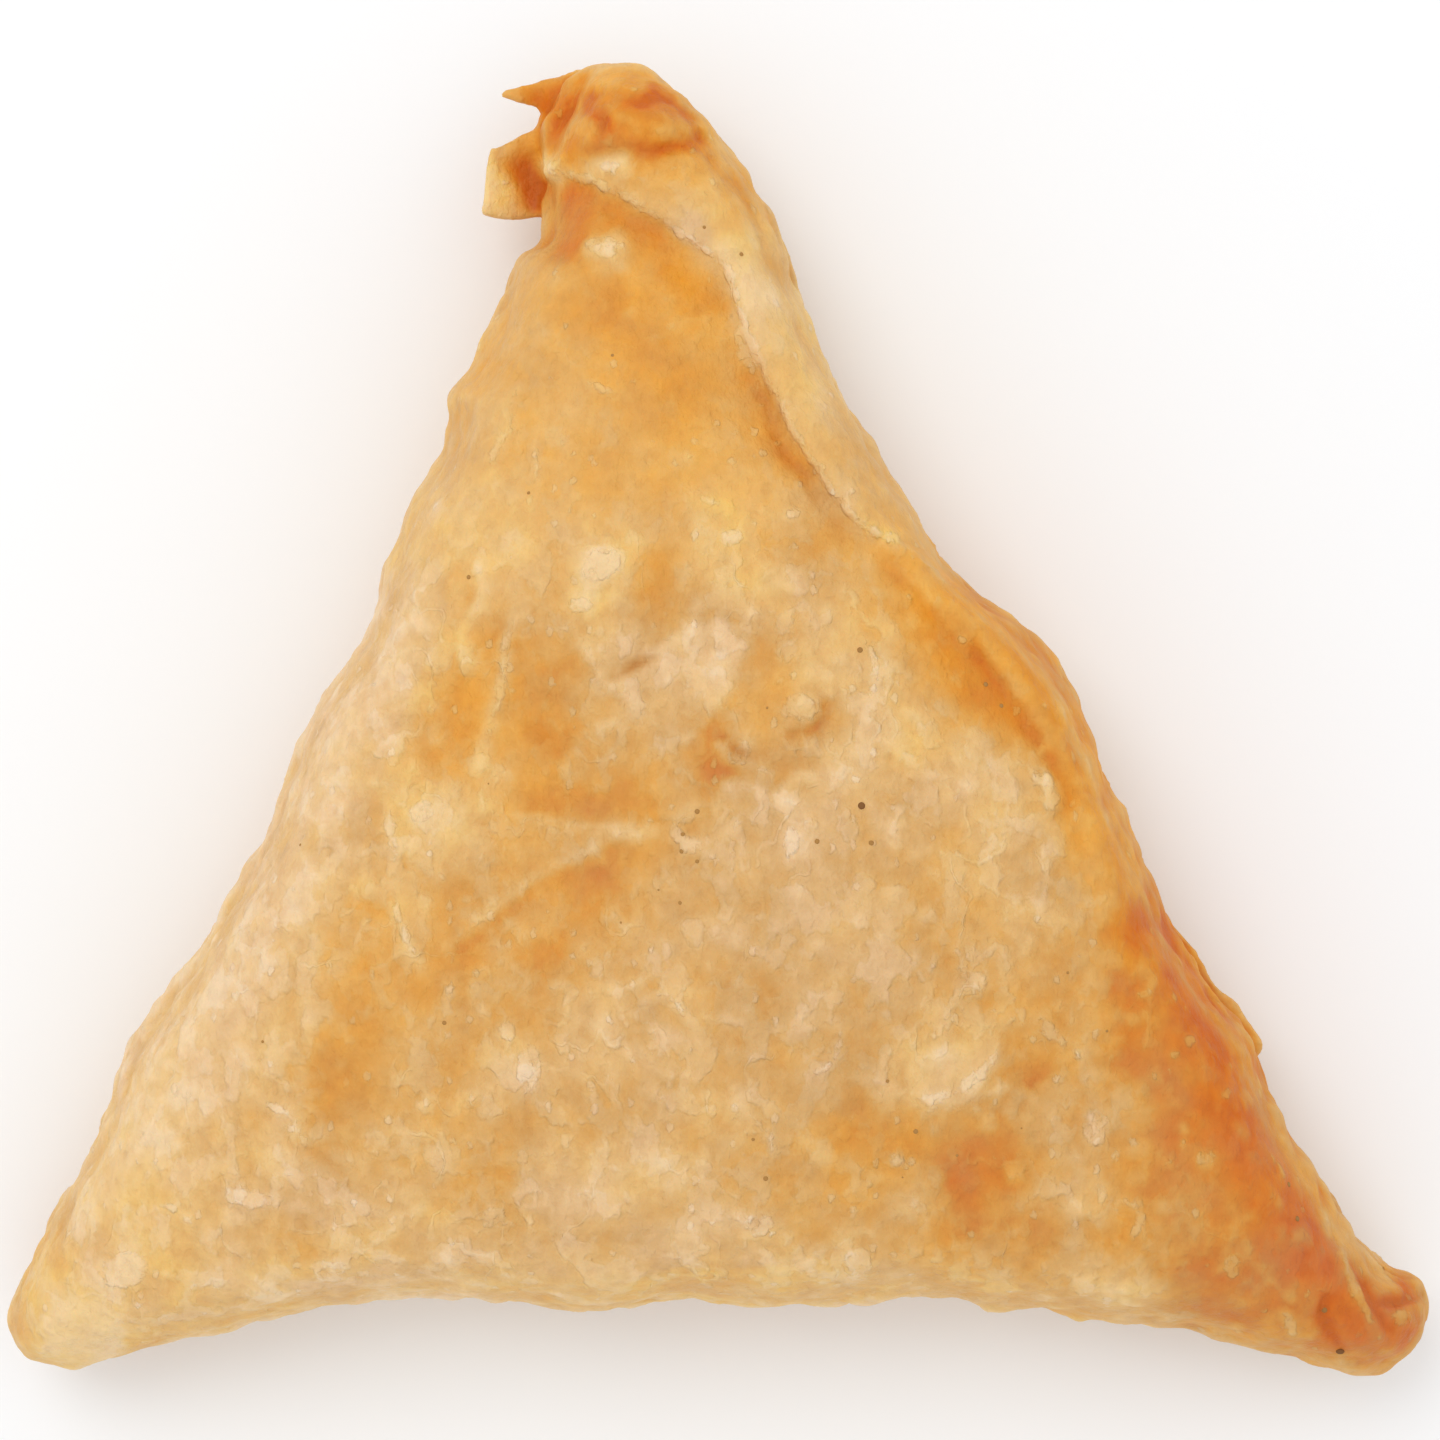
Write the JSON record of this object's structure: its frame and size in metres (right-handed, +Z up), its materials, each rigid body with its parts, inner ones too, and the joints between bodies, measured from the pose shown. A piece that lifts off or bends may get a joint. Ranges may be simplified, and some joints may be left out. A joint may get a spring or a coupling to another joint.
{
  "type": "samosa",
  "caption": "Folded triangular pastry parcel, fried whole, with a flap wrapped over its narrow tip, a rolled right edge and a blistered skin.",
  "frame": {"origin": "middle of the footprint's bounding box, on the surface that the samosa lies on", "axes": "+X along the folded base towards the browned corner, +Y from the base towards the wrapped tip, +Z up out of the broad face that shows"},
  "size_m": [0.0996, 0.0918, 0.0244],
  "materials": {
    "fried_pastry": "satin"
  },
  "bodies": {
    "root": {"samosa": "fried_pastry"}
  },
  "joints": []
}
